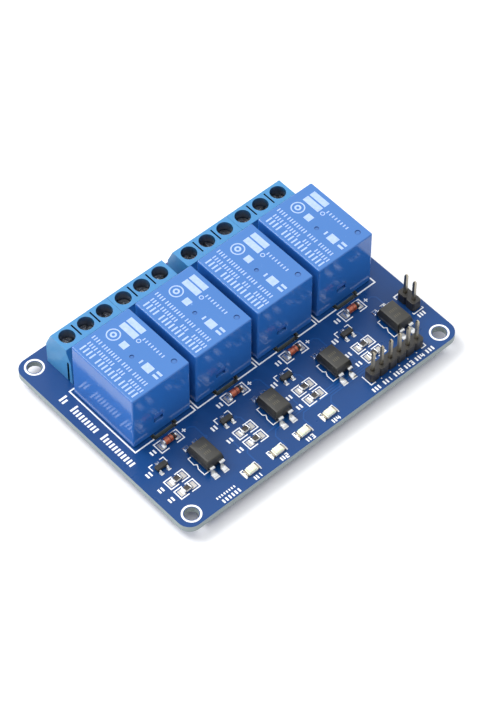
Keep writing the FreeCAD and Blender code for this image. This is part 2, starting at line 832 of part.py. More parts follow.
def build_nodes():
    nodes = {"circuit_board": circuit_board()}
    relay_pieces = {"cover": relay_cover(), "base": relay_base(), "bobbin": relay_bobbin(),
                    "winding": relay_winding(), "yoke_and_core": relay_yoke_and_core(),
                    "armature": relay_armature(), "contact_leaf": relay_contact_leaf(),
                    "terminals": relay_terminals()}
    for i, x in enumerate(relay_xs):
        for name, shape in relay_pieces.items():
            nodes[f"relay_{i + 1}_{name}"] = moved(shape, x, relay_center_y, board_top)
    housing = terminal_housing()
    clamps = terminal_clamps()
    for i, x in enumerate(block_xs):
        place = (x, terminal_screw_y, board_top)
        nodes[f"terminal_{i + 1}_housing"] = moved(housing, *place)
        nodes[f"terminal_{i + 1}_clamps"] = moved(clamps, *place)
        nodes[f"terminal_{i + 1}_screws"] = moved(terminal_screws(i), *place)
    signal_place = (signal_header_x, signal_header_y, board_top)
    supply_place = (supply_header_x, supply_header_y, board_top)
    nodes["signal_header_housing"] = moved(header_housing(signal_header_ways), *signal_place)
    nodes["signal_header_pins"] = moved(header_pins(signal_header_ways), *signal_place)
    supply_housing = turned_header(header_housing(supply_header_ways))
    supply_pins = turned_header(header_pins(supply_header_ways))
    nodes["supply_header_housing"] = moved(supply_housing, *supply_place)
    nodes["supply_header_pins"] = moved(supply_pins, *supply_place)
    nodes["optocoupler_bodies"] = spread(coupler_body, coupler_xs, coupler_y)
    nodes["optocoupler_leads"] = spread(coupler_leads, coupler_xs, coupler_y)
    nodes["transistor_bodies"] = spread(transistor_body, transistor_xs, transistor_y)
    nodes["transistor_leads"] = spread(transistor_leads, transistor_xs, transistor_y)
    nodes["diode_glass_tubes"] = spread(diode_glass, diode_xs, diode_y)
    nodes["diode_end_caps"] = spread(diode_caps, diode_xs, diode_y)
    resistors = [spread(chip_resistor, resistor_xs, y) for y in resistor_ys]
    nodes["chip_resistors"] = Part.makeCompound([s for row in resistors for s in row.Solids])
    nodes["indicator_lights"] = spread(indicator_light, light_xs, light_y)
    nodes["surface_solder"] = moved(surface_solder(), 0, 0, board_top)
    nodes["pin_solder"] = pin_solder()
    return nodes


os.makedirs("parts", exist_ok=True)
for node_name, node_shape in build_nodes().items():
    node_shape.exportStep(f"parts/{node_name}.step")
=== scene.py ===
from math import cos, pi, radians, sin, tan

import bmesh
import bpy
import numpy as np
from mathutils import Matrix, Vector


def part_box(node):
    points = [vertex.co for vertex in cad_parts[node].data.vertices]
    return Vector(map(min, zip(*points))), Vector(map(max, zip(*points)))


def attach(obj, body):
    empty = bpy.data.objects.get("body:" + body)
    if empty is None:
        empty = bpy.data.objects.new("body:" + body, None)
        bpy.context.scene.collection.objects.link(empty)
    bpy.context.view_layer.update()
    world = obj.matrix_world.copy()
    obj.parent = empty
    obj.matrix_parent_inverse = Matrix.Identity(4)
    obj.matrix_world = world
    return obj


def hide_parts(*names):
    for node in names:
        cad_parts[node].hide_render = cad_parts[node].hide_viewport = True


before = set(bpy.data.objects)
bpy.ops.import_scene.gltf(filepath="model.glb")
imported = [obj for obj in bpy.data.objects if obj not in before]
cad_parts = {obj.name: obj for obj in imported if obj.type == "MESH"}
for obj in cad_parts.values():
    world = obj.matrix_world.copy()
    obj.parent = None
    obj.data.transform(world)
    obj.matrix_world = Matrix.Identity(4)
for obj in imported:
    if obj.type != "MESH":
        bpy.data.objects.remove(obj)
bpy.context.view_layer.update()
scene = bpy.context.scene


# Studio. A long lens looks down on the front left corner of the board, which lies on a white
# sheet. One large soft box hangs behind the board, and pale walls shine more on that side.
# Lengths here and distances inside shaders are in metres. All others are in millimetres.
camera_place = Vector((-0.25507, -0.28228, 0.49486))
camera_aim = Vector((-0.00146, -0.00231, 0.0037))
camera_roll_deg = 0.34
camera_lens_mm = 147.09
floor_half = 1.5
wall_light = (0.62, 1.5)
brighter_side = (-0.25, 0.72, 0.65)
softbox_place = Vector((-0.22, 0.55, 0.70))
softbox_side = 0.45
softbox_watts = 5.0


def srgb(code):
    """Linear colour of an sRGB hex code: up to 0.04045 over 12.92, above it a power of 2.4."""
    parts = np.array([int(code[i:i + 2], 16) for i in (1, 3, 5)]) / 255
    linear = np.where(parts <= 0.04045, parts / 12.92, ((parts + 0.055) / 1.055) ** 2.4)
    return (*linear, 1.0)


def add(tree, kind, links=(), **settings):
    """One shader node. Links give an input its value, or the output of an earlier node."""
    node = tree.nodes.new("ShaderNode" + kind)
    for name, value in settings.items():
        setattr(node, name, value)
    for socket, value in dict(links).items():
        if isinstance(value, bpy.types.Node):
            value = value.outputs[0]
        if isinstance(value, bpy.types.NodeSocket):
            tree.links.new(value, node.inputs[socket])
        else:
            node.inputs[socket].default_value = value
    return node


def new_finish(name):
    """An empty material, its node tree, and the place on the piece in millimetres."""
    finish = bpy.data.materials.new(name)
    finish.use_nodes = True
    tree = finish.node_tree
    tree.nodes.clear()
    place = add(tree, "TexCoord").outputs["Object"]
    return finish, tree, add(tree, "VectorMath", {0: place, 1: (1000, 1000, 1000)},
                             operation="MULTIPLY")


def two_tone(tree, place, hexes, scale, detail=2.0):
    """A colour that wanders between two tones, and the noise that mixes them: scale is the
    number of its waves in a millimetre."""
    noise = add(tree, "TexNoise", {"Vector": place, "Scale": scale, "Detail": detail})
    tone = add(tree, "Mix", {0: noise.outputs["Fac"], 6: srgb(hexes[0]), 7: srgb(hexes[1])},
               data_type="RGBA")
    return tone.outputs[2], noise.outputs["Fac"]


def surface(tree, links):
    """The end of a finish: one principled surface with these inputs, shown by the material."""
    add(tree, "OutputMaterial", {"Surface": add(tree, "BsdfPrincipled", links)})


# White sheet under the board: uncoated card, matt with a very faint mottle.
card, tree, place = new_finish("matt_white_card")
tone, _ = two_tone(tree, place, ("#f1f2f4", "#f5f5f4"), 0.02)
surface(tree, {"Base Color": tone, "Roughness": 0.9, "Specular IOR Level": 0.2})
sheet_mesh = bpy.data.meshes.new("paper_sheet")
sheet_mesh.from_pydata([(-floor_half, -floor_half, 0), (floor_half, -floor_half, 0),
                        (floor_half, floor_half, 0), (-floor_half, floor_half, 0)],
                       [], [(0, 1, 2, 3)])
sheet_mesh.materials.append(card)
paper_sheet = bpy.data.objects.new("paper_sheet", sheet_mesh)
scene.collection.objects.link(paper_sheet)

world = bpy.data.worlds.new("pale_walls")
world.use_nodes = True
world.node_tree.nodes.clear()
direction = add(world.node_tree, "TexCoord").outputs["Generated"]
towards = add(world.node_tree, "VectorMath", {0: direction, 1: brighter_side},
              operation="DOT_PRODUCT").outputs["Value"]
glow = add(world.node_tree, "MapRange", {"Value": towards, "From Min": -0.6, "From Max": 1.0,
                                         "To Min": wall_light[0], "To Max": wall_light[1]})
walls = add(world.node_tree, "Background", {"Color": srgb("#fbfcff"), "Strength": glow})
add(world.node_tree, "OutputWorld", {"Surface": walls})
scene.world = world

lamp = bpy.data.lights.new("softbox", "AREA")
lamp.shape = "SQUARE"
lamp.size = softbox_side
lamp.energy = softbox_watts
softbox = bpy.data.objects.new("softbox", lamp)
softbox.matrix_world = (Matrix.Translation(softbox_place)
                        @ (-softbox_place).to_track_quat("-Z", "Y").to_matrix().to_4x4())
scene.collection.objects.link(softbox)

lens = bpy.data.cameras.new("camera")
lens.lens = camera_lens_mm
lens.clip_start = 0.01
camera = bpy.data.objects.new("camera", lens)
camera.matrix_world = (Matrix.Translation(camera_place)
                       @ (camera_aim - camera_place).to_track_quat("-Z", "Y").to_matrix().to_4x4()
                       @ Matrix.Rotation(radians(camera_roll_deg), 4, "Z"))
scene.collection.objects.link(camera)
scene.camera = camera
scene.view_settings.view_transform = "Standard"


# Circuit board. Glass-epoxy laminate 1.6 mm thick under a glossy blue solder mask. The routed
# edges and the slots show the bare laminate, grey-green with its layers of glass cloth. They
# are 0.2 mm thick and drawn twice as thick, so that they show.
mask_hex = ("#063a72", "#08427f")
laminate_hex = ("#96a1a1", "#808b8b")
# Painted shade: the near-black that the laminate takes deep in slots and drilled holes.
slot_shade_hex = "#23231c"
cloth_pitch = 0.4
mask_peel_waves = 2.5
# A wave texture of scale 1 lays this many bands in a millimetre.
bands_at_scale_1 = 3.15


def span(node):
    """Lowest and highest corners of a CAD node in millimetres."""
    low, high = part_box(node)
    return np.array(low) * 1000, np.array(high) * 1000


def blue_mask(name, hexes, edge_too):
    """Cured photo-imaged ink: smooth and glossy, with a long wave where it flowed over copper."""
    finish, tree, place = new_finish(name)
    colour, _ = two_tone(tree, place, hexes, 0.09, 3.0)
    peel = add(tree, "TexNoise", {"Vector": place, "Scale": mask_peel_waves, "Detail": 2.0})
    bump = add(tree, "Bump", {"Height": peel.outputs["Fac"], "Strength": 0.06,
                              "Distance": 0.0001})
    haze = add(tree, "TexNoise", {"Vector": place, "Scale": 0.35, "Detail": 4.0})
    gloss = add(tree, "MapRange", {"Value": haze.outputs["Fac"], "To Min": 0.22, "To Max": 0.4})
    ink = add(tree, "BsdfPrincipled", {"Base Color": colour, "Roughness": gloss, "IOR": 1.42,
                                       "Normal": bump})
    if not edge_too:
        add(tree, "OutputMaterial", {"Surface": ink})
        return finish
    layers = add(tree, "TexWave",
                 {"Vector": place, "Scale": 1 / cloth_pitch / bands_at_scale_1,
                  "Distortion": 1.2, "Detail": 2.0}, bands_direction="Z")
    cut = add(tree, "Mix", {0: layers.outputs["Fac"], 6: srgb(laminate_hex[0]),
                            7: srgb(laminate_hex[1])}, data_type="RGBA").outputs[2]
    # Painted shade: where the laminate is closely hemmed in, it turns to the shade colour.
    open_air = add(tree, "AmbientOcclusion", {"Distance": 0.0013}, samples=8, only_local=True)
    cut = add(tree, "Mix", {0: open_air.outputs["AO"], 6: srgb(slot_shade_hex), 7: cut},
              data_type="RGBA").outputs[2]
    sawn = add(tree, "Bump", {"Height": layers.outputs["Fac"], "Strength": 0.3,
                              "Distance": 0.0001})
    laminate = add(tree, "BsdfPrincipled", {"Base Color": cut, "Roughness": 0.62, "IOR": 1.52,
                                            "Normal": sawn})
    facing = add(tree, "SeparateXYZ", {0: add(tree, "TexCoord").outputs["Normal"]})
    level = add(tree, "Math", {0: facing.outputs["Z"]}, operation="ABSOLUTE")
    flat = add(tree, "Math", {0: level, 1: 0.7}, operation="GREATER_THAN")
    both = add(tree, "MixShader", {0: flat, 1: laminate, 2: ink})
    add(tree, "OutputMaterial", {"Surface": both})
    return finish


def dress(finish, *nodes):
    """Gives CAD nodes their finish."""
    for node in nodes:
        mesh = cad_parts[node].data
        mesh.materials.clear()
        mesh.materials.append(finish)


dress(blue_mask("blue_mask_on_laminate", mask_hex, True), "circuit_board")
board_low, board_high = span("circuit_board")
deck = board_high[2]
front_edge = board_low[1]


# Copper tracks. Etched copper foil under the mask: the ink over it is a little brighter and
# stands a hair above the board. Thin signal tracks on top end in ringed through holes, which
# the mask fills, and wide tracks for the switched current run underneath.
track_hex = ("#0c4686", "#104f91")
track_thickness = 0.02
signal_track = 0.3
switched_track = 3.2
via_radius = 0.3


def skin(rings, loop=False):
    """Quads over a grid of points, ring after ring, each ring closed. The end rings are faces,
    or in a loop the last ring meets the first."""
    stations, corners = rings.shape[:2]
    index = np.arange(stations * corners).reshape(stations, corners)
    if loop:
        index = np.vstack([index, index[:1]])
    beside = np.roll(index, -1, axis=1)
    faces = np.stack([index[:-1], index[1:], beside[1:], beside[:-1]], axis=-1)
    faces = faces.reshape(-1, 4).tolist()
    if not loop:
        faces += [index[0].tolist(), index[-1][::-1].tolist()]
    return rings.reshape(-1, 3), faces


def ribbon(line, width, z, height, loop=False):
    """A flat strip along a line. Its edges stand off each point by half the width along the
    sum of the two neighbouring normals, over one plus their dot product, so bends keep width."""
    line = np.asarray(line, float)
    ahead = np.roll(line, -1, axis=0) - line
    if not loop:
        ahead[-1] = ahead[-2]
    ahead /= np.linalg.norm(ahead, axis=1)[:, None]
    after = np.stack([-ahead[:, 1], ahead[:, 0]], axis=1)
    before = np.roll(after, 1, axis=0)
    if not loop:
        before[0] = after[0]
    offset = width / 2 * (before + after) / (1 + (before * after).sum(axis=1))[:, None]
    low = np.full((len(line), 1), z)
    left, right = line + offset, line - offset
    rings = np.stack([np.hstack([left, low]), np.hstack([right, low]),
                      np.hstack([right, low + height]), np.hstack([left, low + height])], axis=1)
    return skin(rings, loop)


def ring(x, y, radius, width, z, height, sides=24):
    """A flat ring: a strip along a circle, whose points stand at equal steps of a turn."""
    turn = np.arange(sides) * 2 * pi / sides
    circle = np.stack([x + radius * np.cos(turn), y + radius * np.sin(turn)], axis=1)
    return ribbon(circle, width, z, height, loop=True)


def joined(parts):
    """Several (points, faces) as one: a part's faces count on from the points before it."""
    starts = np.cumsum([0] + [len(points) for points, _ in parts])
    faces = [[corner + start for corner in face]
             for start, (_, part_faces) in zip(starts, parts) for face in part_faces]
    return np.vstack([points for points, _ in parts]), faces


def make_piece(name, shape, finish, smooth_deg=40):
    """A mesh from (points in millimetres, faces), shaded smooth below an angle."""
    points, faces = shape
    mesh = bpy.data.meshes.new(name)
    mesh.from_pydata((np.asarray(points) / 1000).tolist(), [], faces)
    mesh.shade_smooth()
    mesh.set_sharp_from_angle(angle=radians(smooth_deg))
    mesh.materials.append(finish)
    piece = bpy.data.objects.new(name, mesh)
    scene.collection.objects.link(piece)
    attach(piece, "root")
    return piece


def middle(node):
    """Half the sum of a node's lowest and highest corners."""
    low, high = span(node)
    return (low + high) / 2


channels = (1, 2, 3, 4)
relay_middles = [middle(f"relay_{k}_cover") for k in channels]
block_middles = [middle(f"terminal_{k}_housing") for k in channels]
header_low, header_high = span("signal_header_housing")
header_pitch = (header_high[0] - header_low[0]) / 6
header_y = (header_low[1] + header_high[1]) / 2
header_xs = header_low[0] + header_pitch * (np.arange(6) + 0.5)
lane_y = header_high[1] + 0.9
lane_pitch = 0.62
light_xs = (-18.85, -11.6, -4.35, 2.9)
light_y = -25.15
resistor_xs = (-31.65, -12.85, 3.725, 20.7)
resistor_ys = (-16.6, -19.8)
diode_xs = (-26.5, -8.2, 8.35, 25.3)
diode_y = -8.3
resistor_stubs = ([(-1.5, 0), (-3.1, 0), (-3.9, -0.8), (-3.9, -3.3)],
                  [(1.5, 0), (1.5, 3.0), (0.7, 3.8)])
diode_stub = [(1.9, 0), (5.6, 0), (6.4, -0.8), (6.4, -4.1)]
tracks = []
for lane, (pin_x, light_x) in enumerate(zip(header_xs[1:5], light_xs)):
    y = lane_y + lane_pitch * (3 - lane)
    turn = light_x + 3.6
    tracks.append([(pin_x, header_y), (pin_x, y - 0.6), (pin_x - 0.6, y), (turn, y),
                   (turn - 1.2, y - 1.2), (turn - 1.2, light_y)])
for x in resistor_xs[1:]:
    tracks += [np.add(stub, (x, resistor_ys[0])) for stub in resistor_stubs]
tracks += [np.add(diode_stub, (x, diode_y)) for x in diode_xs]
top_tracks = [ribbon(line, signal_track, deck, track_thickness) for line in tracks]
for line in tracks[len(light_xs):]:
    top_tracks.append(ring(*line[-1], via_radius, via_radius, deck, track_thickness * 1.5))
blue_over_copper = blue_mask("blue_mask_over_copper", track_hex, False)
make_piece("board_tracks_top", joined(top_tracks), blue_over_copper)

contact_pitch = 5.6
screw_pitch = 5.08
under_tracks = []
for relay, block in zip(relay_middles, block_middles):
    for way in (-1, 0, 1):
        start_x, start_y = relay[0] + contact_pitch * way, 10.0 if way else -2.0
        end_x, end_y = block[0] + screw_pitch * way, block[1] + 0.2
        line = [(start_x, start_y), (start_x, 13.2), (end_x, 16.4), (end_x, end_y)]
        under_tracks.append(ribbon(line, switched_track, board_low[2] - track_thickness,
                                   track_thickness))
make_piece("board_tracks_under", joined(under_tracks), blue_over_copper)


# Board print. White epoxy ink, screen printed on the mask: outlines round each part, a ring
# round each fixing hole, rows of plain bars, and a number for each of the four channels.
print_thickness = 0.03
crossing_step = 0.002
outline_width = 0.32
fine_width = 0.22
bracket_width = 0.26
bar_width = 0.42
hole_inset = (3.5, 3.0)
ring_middle_radius = 1.98
ring_width = 0.42
coupler_xs = (-23.9, -4.9, 12.1, 29.8)
coupler_y = -16.7
transistor_xs = (-32.0, -14.2, 2.6, 20.0)
transistor_y = -12.25
digit_lines = {1: [[(0, 0), (0, 1)]],
               2: [[(-0.3, 1), (0.3, 1), (0.3, 0.5), (-0.3, 0.5), (-0.3, 0), (0.3, 0)]],
               3: [[(-0.3, 1), (0.3, 1), (0.3, 0), (-0.3, 0)], [(-0.15, 0.5), (0.3, 0.5)]],
               4: [[(-0.3, 1), (-0.3, 0.4), (0.4, 0.4)], [(0.2, 0.9), (0.2, 0)]]}

# The screen's mesh leaves the ink thick and thin, so the white is half matt and a little uneven.
white_ink, tree, place = new_finish("screen_printed_white_ink")
tone, weave = two_tone(tree, place, ("#e9ecee", "#ffffff"), 1.8, 3.0)
grain = add(tree, "Bump", {"Height": weave, "Strength": 0.15, "Distance": 0.0001})
surface(tree, {"Base Color": tone, "Roughness": 0.55, "IOR": 1.5, "Normal": grain})


def printed(lines, x, y, width, quarter_turns=0, z=deck, height=print_thickness):
    """Strips along lines that are given round (x, y) and turned by quarter turns. Each is a
    hair thicker than the one before, so that no two tops lie in one plane where they cross."""
    c, s = cos(quarter_turns * pi / 2), sin(quarter_turns * pi / 2)
    turn = np.array([[c, s], [-s, c]])
    return [ribbon(np.asarray(line, float) @ turn + (x, y), width, z, height + crossing_step * i)
            for i, line in enumerate(lines)]


def bars(count, pitch, tall):
    """Upright strokes side by side: the first stands half a pitch from the origin."""
    return [[(pitch * (i + 0.5), 0), (pitch * (i + 0.5), tall)] for i in range(count)]


def mirrored(lines):
    """Lines, and after them the same lines with x negated."""
    return lines + [[(-x, y) for x, y in line] for line in lines]


marks = []
relay_outline = [[(-3.2, -10.7), (-8.33, -10.7), (-8.33, 10.4), (8.1, 10.4)],
                 [(2.8, -10.7), (8.1, -10.7), (8.1, -9.1)]]
for centre in relay_middles:
    marks += printed(relay_outline, centre[0], centre[1], outline_width)
for side_x in (-1, 1):
    for side_y in (-1, 1):
        marks.append(ring(side_x * (board_high[0] - hole_inset[0]),
                          side_y * (board_high[1] - hole_inset[1]),
                          ring_middle_radius, ring_width, deck, print_thickness, sides=48))
diode_bracket = [(1.05, 1.36), (3.05, 1.36), (3.05, -1.36), (1.05, -1.36)]
plus_sign = [[(3.6, 0.1), (4.6, 0.1)], [(4.1, -0.4), (4.1, 0.6)]]
for x in diode_xs:
    marks += printed(mirrored([diode_bracket]) + plus_sign, x, diode_y, bracket_width)
    marks += printed(bars(2, 0.8, 1.1), x - 5.2, diode_y - 0.6, bar_width)
transistor_corner = [(0.95, 1.75), (1.94, 1.75), (1.94, 0.4)]
for x in transistor_xs:
    marks += printed(mirrored([transistor_corner]), x, transistor_y, fine_width)
    marks += printed(bars(2, 0.8, 1.2), x - 4.0, transistor_y - 0.4, bar_width)
resistor_bracket = [(0.38, 1.2), (2.48, 1.2), (2.48, -1.2), (0.38, -1.2)]
for x in resistor_xs:
    for y in resistor_ys:
        marks += printed(mirrored([resistor_bracket]), x, y, bracket_width)
        marks += printed(bars(2, 0.8, 1.1), x - 5.0, y - 0.5, bar_width)
notched_side = [(-1.1, -2.8), (-2.75, -2.8), (-2.75, -0.95), (-2.2, 0.05), (-2.75, 0.5),
                (-2.65, 2.4), (-1.9, 2.4)]
plain_side = [(1.9, 2.4), (2.75, 2.4), (2.75, -2.8), (1.9, -2.8)]
for x in coupler_xs:
    marks += printed([notched_side, plain_side], x, coupler_y, fine_width)
light_corner = [(1.2, 1.25), (1.95, 1.25), (1.95, -0.95)]
for k, x in enumerate(light_xs, 1):
    marks += printed(mirrored([light_corner]), x, light_y, fine_width)
    marks += printed(bars(2, 0.6, 1.0), x - 0.9, light_y - 2.45, 0.34)
    marks += printed(digit_lines[k], x + 0.85, light_y - 2.45, 0.24)
ticks = [[(x, header_low[1] - 0.2), (x, header_low[1] - 0.45)]
         for x in header_xs[:-1] + header_pitch / 2]
marks += printed(ticks, 0, 0, 0.25)
right_end = [(-1.28, 0), (0, 0), (0, header_high[1] - header_low[1] + 0.4)]
left_end = [(-x, y) for x, y in right_end]
marks += printed([right_end], header_high[0] + 0.28, header_low[1] - 0.2, fine_width)
marks += printed([left_end], header_low[0] - 0.28, header_low[1] - 0.2, fine_width)
label_pitch = 3.1
for k in range(6):
    x = header_xs.mean() + (k - 2.5) * label_pitch
    marks += printed(bars(2 if 0 < k < 5 else 3, 0.78, 1.05), x - 1.15, front_edge + 0.55, 0.4)
    if 0 < k < 5:
        marks += printed(digit_lines[k], x + 0.95, front_edge + 0.55, 0.26)
supply_low, supply_high = span("supply_header_housing")
supply_x = (supply_low[0] + supply_high[0]) / 2
marks += printed([[(-1.35, 1.0), (-1.35, 1.9), (1.35, 1.9), (1.35, 1.0)]],
                 supply_x, supply_high[1] - 1.2, outline_width)
marks += printed([[(-1.35, -1.0), (-1.35, -1.45), (1.35, -1.45), (1.35, -1.0)]],
                 supply_x, supply_low[1] + 1.0, fine_width)
marks += printed(bars(3, 0.72, 1.05), supply_x - 1.2, supply_low[1] - 2.0, 0.36)
long_row_x = board_low[0] + 1.75
for start, strokes in ((15.2, 2), (11.6, 9), (1.9, 11)):
    row = bars(strokes, 0.92, 1.45)
    row[0] = [(0.46, 0), (0.46, 2.0)]
    marks += printed(row, long_row_x, start, 0.5, quarter_turns=-1)
marks += printed(bars(8, 0.66, 0.55), -29.0, -26.0, 0.3)
marks += printed(bars(6, 0.84, 0.95), -28.5, -27.55, 0.4)
make_piece("board_print", joined(marks), white_ink)


# Relays. A blue polyester cover, glossy, its roof paler with a painted sheen, is snapped on
# a base and marked in white. Hidden inside: nylon bobbin, copper winding, plated iron, bronze.
case_hex = ("#2461ad", "#2a67b5")
roof_sheen_hex = ("#376db0", "#3b72b5")
hollow_hex = "#0f3677"
case_gloss = 0.11
mark_thickness = 0.015
marks_corner = (-7.6, 9.45)

# Polished tools leave mirror-like walls with a few pale rubs. Small dimples are dark with shade.
relay_plastic, tree, place = new_finish("moulded_blue_polyester")
wall_blue, _ = two_tone(tree, place, case_hex, 0.08)
# Painted sheen: faces that look up take this paler, greyer blue, in place of the sky's
# reflection.
roof_sheen_blue, _ = two_tone(tree, place, roof_sheen_hex, 0.08)
facing = add(tree, "SeparateXYZ", {0: add(tree, "TexCoord").outputs["Normal"]})
roof_sheen_mask = add(tree, "MapRange", {"Value": facing.outputs["Z"], "From Min": 0.6, "From Max": 0.95})
colour = add(tree, "Mix", {0: roof_sheen_mask, 6: wall_blue, 7: roof_sheen_blue}, data_type="RGBA").outputs[2]
rubs = add(tree, "TexNoise", {"Vector": place, "Scale": 0.9, "Detail": 8.0, "Roughness": 0.75})
scuff = add(tree, "MapRange", {"Value": rubs.outputs["Fac"], "From Min": 0.64, "From Max": 0.76,
                               "To Max": 0.6})
scuffed = add(tree, "Mix", {0: scuff, 6: colour, 7: srgb("#8fb2e2")}, data_type="RGBA").outputs[2]
open_air = add(tree, "AmbientOcclusion", {"Distance": 0.001}, samples=8, only_local=True)
openness = add(tree, "MapRange", {"Value": open_air.outputs["AO"], "From Min": 0.55,
                                  "From Max": 0.95})
shaded = add(tree, "Mix", {0: openness, 6: srgb(hollow_hex), 7: scuffed},
             data_type="RGBA").outputs[2]
sink = add(tree, "TexNoise", {"Vector": place, "Scale": 0.25, "Detail": 1.0})
bump = add(tree, "Bump", {"Height": sink.outputs["Fac"], "Strength": 0.12, "Distance": 0.0002})
gloss = add(tree, "MapRange", {"Value": scuff, "To Min": case_gloss, "To Max": 0.5})
surface(tree, {"Base Color": shaded, "Roughness": gloss, "IOR": 1.55, "Normal": bump})


def eased(node, name, width, finish):
    """A copy of a CAD node with its corners joined. Sharp edges are rounded off by a width, or
    with no width the shading follows the large faces."""
    block = bmesh.new()
    block.from_mesh(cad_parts[node].data)
    bmesh.ops.remove_doubles(block, verts=block.verts, dist=1e-6)
    bmesh.ops.dissolve_limit(block, angle_limit=radians(1), verts=block.verts, edges=block.edges)
    block.verts.index_update()
    points = np.array([v.co[:] for v in block.verts]) * 1000
    faces = [[v.index for v in face.verts] for face in block.faces]
    block.free()
    piece = make_piece(name, (points, faces), finish)
    if width:
        bevel = piece.modifiers.new("eased_edges", "BEVEL")
        bevel.width = width / 1000
        bevel.segments = 2
        bevel.limit_method = "ANGLE"
        bevel.angle_limit = radians(40)
        bevel.harden_normals = True
    else:
        flats = piece.modifiers.new("flat_faces", "WEIGHTED_NORMAL")
        flats.keep_sharp = True
        flats.weight = 100
    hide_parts(node)


for k in channels:
    eased(f"relay_{k}_cover", f"relay_{k}_case", 0, relay_plastic)

# The base is the same polyester from a duller tool.
base_plastic, tree, place = new_finish("moulded_blue_base")
colour, _ = two_tone(tree, place, ("#1d55a6", "#235eb2"), 0.4, 3.0)
surface(tree, {"Base Color": colour, "Roughness": 0.4, "IOR": 1.57})
dress(base_plastic, *(f"relay_{k}_base" for k in channels))

# Nylon without pigment: cream, waxy, and light goes a little way in.
nylon, tree, place = new_finish("natural_nylon")
colour, _ = two_tone(tree, place, ("#d9d2c0", "#e8e3d4"), 0.5)
surface(tree, {"Base Color": colour, "Roughness": 0.45, "IOR": 1.53, "Subsurface Weight": 0.15,
               "Subsurface Scale": 0.001})
dress(nylon, *(f"relay_{k}_bobbin" for k in channels))

# Real turns lie under 0.1 mm apart. They are drawn coarser, so that the red-brown ridges show.
wire_pitch = 0.5
enamelled_wire, tree, place = new_finish("enamelled_copper_wire")
turns = add(tree, "TexWave", {"Vector": place, "Scale": 1 / wire_pitch / bands_at_scale_1,
                              "Distortion": 0.6, "Detail": 1.0},
            bands_direction="Z", wave_profile="SIN")
colour = add(tree, "Mix", {0: turns.outputs["Fac"], 6: srgb("#5f2411"), 7: srgb("#b5552a")},
             data_type="RGBA").outputs[2]
bump = add(tree, "Bump", {"Height": turns.outputs["Fac"], "Strength": 0.8, "Distance": 0.0001})
surface(tree, {"Base Color": colour, "Roughness": 0.3, "Metallic": 0.7, "Coat Weight": 0.6,
               "Normal": bump})
dress(enamelled_wire, *(f"relay_{k}_winding" for k in channels))


def plated(name, hexes, roughness, grain_scale, dents=0.12):
    """Plated metal: one noise drifts its tone, its gloss by 30 % each way, and its dents."""
    finish, tree, place = new_finish(name)
    colour, bloom = two_tone(tree, place, hexes, grain_scale, 4.0)
    gloss = add(tree, "MapRange", {"Value": bloom, "To Min": roughness * 0.7,
                                   "To Max": roughness * 1.3})
    bump = add(tree, "Bump", {"Height": bloom, "Strength": dents, "Distance": 0.0001})
    surface(tree, {"Base Color": colour, "Metallic": 1.0, "Roughness": gloss, "Normal": bump})
    return finish


# Plated iron looks warm grey, bronze strip golden brown, and tinned pins pale and half bright.
nickelled_iron = plated("nickel_plated_iron", ("#b3aca0", "#cdc7bb"), 0.3, 1.2)
dress(nickelled_iron, *(f"relay_{k}_{part}" for k in channels
                        for part in ("yoke_and_core", "armature")))
spring_bronze = plated("rolled_spring_bronze", ("#a9743f", "#c08b52"), 0.32, 0.8)
dress(spring_bronze, *(f"relay_{k}_contact_leaf" for k in channels))
tinned_pin = plated("tinned_copper_pin", ("#b9b9b6", "#d7d7d3"), 0.35, 1.5)
dress(tinned_pin, *(f"relay_{k}_terminals" for k in channels))


def field(x0, y0, x1, y1, z):
    """A filled rectangle of ink between two corners."""
    return ribbon([(x0, (y0 + y1) / 2), (x1, (y0 + y1) / 2)], abs(y1 - y0), z, mark_thickness)


def case_marks(left, rear, roof):
    """Ink on a cover's roof. Rows of strokes run from the rear wall to the front one. A row is
    given by its distance from the left wall, its height, the width and pitch of its strokes,
    and where its groups start and end. Blocks and rings are given from the same corner."""
    shapes = []
    for start, tall, stroke, pitch, groups in (
            (0.75, 1.7, 0.38, 1.02, ((1.4, 5.5), (6.2, 12.8), (13.6, 18.0))),
            (2.75, 1.0, 0.27, 0.72, ((1.4, 3.9), (4.5, 9.2), (10.7, 13.0), (14.3, 18.4))),
            (4.5, 1.0, 0.27, 0.72, ((0.8, 3.4), (4.0, 9.4), (10.2, 12.9), (13.6, 18.2))),
            (11.9, 0.8, 0.27, 0.85, ((8.2, 14.9),))):
        for begin, end in groups:
            for v in np.arange(begin, end - 0.3, pitch):
                shapes.append(field(left + start, rear - v - stroke, left + start + tall,
                                    rear - v, roof))
    for u0, v0, u1, v1 in ((10.7, 2.2, 12.3, 6.9), (12.7, 2.2, 14.2, 6.9), (7.4, 5.9, 9.1, 7.6),
                           (7.1, 13.3, 9.0, 15.6), (7.4, 16.4, 8.0, 17.9), (8.5, 16.4, 9.1, 17.9),
                           (7.5, 12.1, 8.6, 12.5)):
        shapes.append(field(left + u0, rear - v1, left + u1, rear - v0, roof))
    for u, v, radius, width in ((8.4, 3.2, 1.45, 0.28), (8.4, 3.2, 0.55, 0.4),
                                (11.2, 7.9, 0.45, 0.2)):
        shapes.append(ring(left + u, rear - v, radius, width, roof, mark_thickness, sides=40))
    return joined(shapes)


# A pad lays the ink on thin, so the blue shows through and the white is pale blue and patchy.
pad_ink, tree, place = new_finish("pad_printed_white_ink")
tone, _ = two_tone(tree, place, ("#8ca8dc", "#b7c8ee"), 1.4, 4.0)
surface(tree, {"Base Color": tone, "Roughness": 0.5, "IOR": 1.5})
for k, centre in enumerate(relay_middles, 1):
    roof = span(f"relay_{k}_cover")[1][2]
    shape = case_marks(centre[0] + marks_corner[0], centre[1] + marks_corner[1], roof)
    make_piece(f"relay_{k}_marks", shape, pad_ink)


# Screw terminals. Light blue nylon housings keyed side by side. In each well sits a zinc-plated
# slotted screw in a plated brass clamp, and the wires go in from the rear.
housing_hex = ("#387fb0", "#4088ba")
well_shade_hex = "#051a35"
edge_round = 0.12
